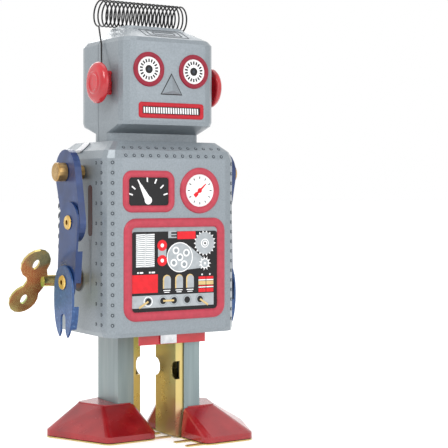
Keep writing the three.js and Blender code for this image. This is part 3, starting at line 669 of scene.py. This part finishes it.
def face():
    rings = []
    for side in SIDES.values():
        u, v = side * EYE["x"], EYE["z"]
        rings.append(circle_band(u, v, EYE["ring"], EYE["ring"] - EYE["white"] + 0.25, 0.9, face_plane))
    piece("eye_rims", rings, ["eye_rim"], "torso")
    made = Print(face_plane)
    for side in SIDES.values():
        u, v = side * EYE["x"], EYE["z"]
        made.add("white", 0, disc(u, v, EYE["white"], 48))
        made.add("black", 1, *[ray(u, v, 20 * i + 10, 2.8, 4.1, 0.62) for i in range(18)])
        made.add("black", 1, disc(u, v, 1.65, 28))
        made.add("ink", 2, disc(u, v, 0.65, 20))
    made.make("eyes_print")
    mouth()
    nose()


def mouth():
    half, low, high = MOUTH["half"], MOUTH["low"], MOUTH["high"]
    outline = lambda inset: round_box(
        -half + inset, low + inset, half - inset, high - inset, max(0.5, 1.2 - inset), 4)
    rim = moulding(outline, MOUTH["rim"], 0.7, face_plane)
    piece("mouth_rim", [rim], ["mouth_rim"], "torso")
    made = Print(face_plane)
    made.add("black", 0, box(-half + 1.4, low + 1.4, half - 1.4, high - 1.4))
    pitch = (2 * half - 4.2) / MOUTH["teeth"]
    for i in range(MOUTH["teeth"]):
        left = -half + 2.1 + pitch * i
        tooth = [(left + 0.1, low + 1.95), (left + pitch * 0.66, low + 1.95)]
        tooth += [(left + pitch * 0.56, high - 1.95), (left, high - 1.95)]
        made.add("white", 1, tooth)
    made.make("mouth_print")


def nose():
    """A shallow three-sided boss with a dark printed outline round it."""
    half, low, high, rise = (NOSE[k] for k in ("half", "low", "high", "rise"))
    corners = [(-half, low), (half, low), (0, high)]
    line = 0.35
    outline = [(-half - line * 1.5, low - line), (half + line * 1.5, low - line), (0, high + line * 2)]
    shapes = [prism(outline, face_plane, -0.1, 0.08, 0)]
    points = [face_plane(u, v, -0.1) for u, v in corners]
    points += [face_plane(u, v, 0.14) for u, v in corners]
    points += [face_plane(0, low + 1.3, rise)]
    faces = [(2, 1, 0), (0, 1, 4, 3), (1, 2, 5, 4), (2, 0, 3, 5), (3, 4, 6), (4, 5, 6), (5, 3, 6)]
    shapes.append((points, faces, 1))
    piece("nose", shapes, ["black", "body"], "torso", angle=12)


def roof_print():
    """Frames printed one inside the other on the slope above the face."""
    slope = Vector((0, ROOF["run"], ROOF["rise"])).normalized()
    out = Vector((0, -ROOF["rise"], ROOF["run"])).normalized()
    middle = Vector((0, FACE + 6.2, HEAD_TOP - 3.3))

    def roof_plane(u, v, height):
        spot = middle + Vector((u, 0, 0)) + slope * v + out * height
        return spot.x, spot.y, spot.z

    made = Print(roof_plane, 0.03)
    line = 0.4
    for half, tall in ((9.6, 3.9), (7.2, 2.5), (4.8, 1.1)):
        for v in (-tall, tall):
            made.add("ink", 0, stroke(-half, v, half, v, line))
        for u in (-half, half):
            made.add("ink", 0, stroke(u, -tall + line / 2, u, tall - line / 2, line))
    made.make("roof_print")


EAR_BACK = 24.4
# The knob's rounded edge and the ridge on its face: out from the back, and in from the rim.
EAR_EDGE = [(0, 0.8), (0.4, 0.2), (1.0, 0), (1.8, 0.1), (2.6, 0.7), (3.1, 1.7), (3.2, 2.9)]
EAR_RIDGE = [(3.1, 3.6), (3.4, 4.0), (3.6, 4.4), (3.4, 4.8), (3.1, 5.2)]
EAR_FACE = 3.2
EAR_STEM = {"half": 2.7, "rise": 4.7, "rib_half": 3.0, "rib_rise": 0.55, "ribs": (-3.8, 0, 3.8)}


def ears():
    """A turned knob with a raised ridge on its face, on a ribbed block that stands off the head."""
    for name, side in SIDES.items():
        low, high = extent("ear_" + name)
        middle = (low + high) / 2 - CENTRE
        radius = (high.z - low.z) / 2
        edge = [(EAR_BACK + out, radius - inset) for out, inset in EAR_EDGE + EAR_RIDGE]
        profile = [(EAR_BACK, 0), *edge, (EAR_BACK + EAR_FACE, 1.2), (EAR_BACK + EAR_FACE, 0)]
        root = side * (HEAD_HALF + 0.1)
        shapes = [turned(profile, middle.y, middle.z, side)]
        shapes.append(block(root, side * (EAR_BACK + 0.4), middle, EAR_STEM["half"], EAR_STEM["rise"]))
        for rise in EAR_STEM["ribs"]:
            at = Vector((0, middle.y, middle.z + rise))
            rib = block(root, side * (EAR_BACK + 0.2), at, EAR_STEM["rib_half"], EAR_STEM["rib_rise"])
            shapes.append(rib)
        piece("red_ear_" + name, shapes, ["ear"], "torso", replaces=["ear_" + name],
              bevel=0.25)


def turned(profile, y, z, side, count=48):
    """A closed piece turned about an X axis; the profile's pairs are x, radius, and both ends are on it."""
    points = [(side * profile[0][0], y, z)]
    for x, radius in profile[1:-1]:
        for i in range(count):
            angle = 2 * math.pi * i / count
            points.append((side * x, y + radius * math.cos(angle), z + radius * math.sin(angle)))
    points.append((side * profile[-1][0], y, z))
    rows = len(profile) - 2
    faces = []
    for i in range(count):
        j = (i + 1) % count
        faces.append((0, 1 + j, 1 + i))
        for row in range(rows - 1):
            start = 1 + row * count
            faces.append((start + i, start + j, start + count + j, start + count + i))
        last = 1 + (rows - 1) * count
        faces.append((last + i, last + j, len(points) - 1))
    return points, faces, 0


def block(x0, x1, middle, half_y, half_z):
    outline = box(middle.y - half_y, middle.z - half_z, middle.y + half_y, middle.z + half_z)
    return prism(outline, lambda u, v, x: (x, u, v), x0, x1)


# ---------------------------------------------------------------- hair


COIL = {"wire": 0.33, "turns": 21, "half": 19.2, "radius": 5.3, "per_turn": 24}


def hair():
    """The wire itself, as one round curve along its coil and down its two tails."""
    wire, turns, half, radius, per_turn = (COIL[k] for k in ("wire", "turns", "half", "radius", "per_turn"))
    high = extent("hair_spring")[1] - CENTRE
    ear_low, ear_high = extent("ear_left")
    z = high.z - radius - wire + 0.02
    y = high.y - radius - wire + 0.02
    count = turns * per_turn
    coil = []
    for i in range(count + 1):
        angle = math.pi * (1.5 + 2 * i / per_turn)
        coil.append((half * (2 * i / count - 1), y + radius * math.cos(angle), z + radius * math.sin(angle)))
    foot = (ear_low.y + ear_high.y) / 2 - CENTRE.y + 2

    def tail(side):
        return [(side * 23.3, foot, 145.4), (side * 22.9, foot + 0.2, 147), (side * 21.6, y - 7, 156.4)]

    route = [*tail(-1), *coil, *tail(1)[::-1]]
    curve = bpy.data.curves.new("hair_wire", "CURVE")
    curve.dimensions = "3D"
    curve.bevel_depth = wire * MM
    curve.bevel_resolution = 3
    curve.use_fill_caps = True
    curve.resolution_u = 1
    spline = curve.splines.new("POLY")
    spline.points.add(len(route) - 1)
    for point, where in zip(spline.points, route):
        point.co = (*place(*where), 1)
    curve.materials.append(MATERIALS["wire"])
    made = bpy.data.objects.new("hair_wire", curve)
    bpy.context.scene.collection.objects.link(made)
    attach(made, "torso")
    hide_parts("hair_spring")


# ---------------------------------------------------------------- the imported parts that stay

# Each node's material and the rounding of its edges, by how its name starts. The rest are plain steel.
LOOKS = {
    "torso_front_shell": ("body", 0.35),
    "torso_back_shell": ("body", 0.35),
    "head_front_shell": ("body", 0.5),
    "head_back_shell": ("body", 0.5),
    "torso_bottom_plate": ("ear", 0.1),
    "shoulder_pin": ("brass", 0.2),
    "upper_arm": ("upper", 0.2),
    "forearm": ("forearm", 0.2),
    "hand": ("hand", 0.2),
    "elbow_eyelet": ("eyelet", 0.12),
    "wrist_eyelet": ("eyelet", 0.12),
    "winding_key": ("key", 0.18),
    "leg_cover": ("leg", 0.15),
    "leg_channel": ("zinc", 0.12),
    "foot_shell": ("red", 0.5),
    "sole_plate": ("zinc", 0.1),
    "motor_plate": ("zinc", 0.1),
    "train_bridge": ("zinc", 0.1),
    "great_wheel": ("brass", 0.05),
    "crank_pinion": ("brass", 0.05),
    "crank_wheel": ("brass", 0.04),
    "escape_wheel": ("brass", 0.04),
}


def dress_packed_parts():
    for name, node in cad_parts.items():
        ink, bevel = next((LOOKS[key] for key in LOOKS if name.startswith(key)), ("steel", 0.05))
        node.data.materials.clear()
        node.data.materials.append(MATERIALS[ink])
        tidy_edges(node, bevel, 28)


make_materials()
studio()
dress_packed_parts()
rims()
rectangular_dial()
round_dial()
machine_panel()
rivets()
side_prints()
chevrons()
shoulder_tabs()
face()
roof_print()
ears()
hair()
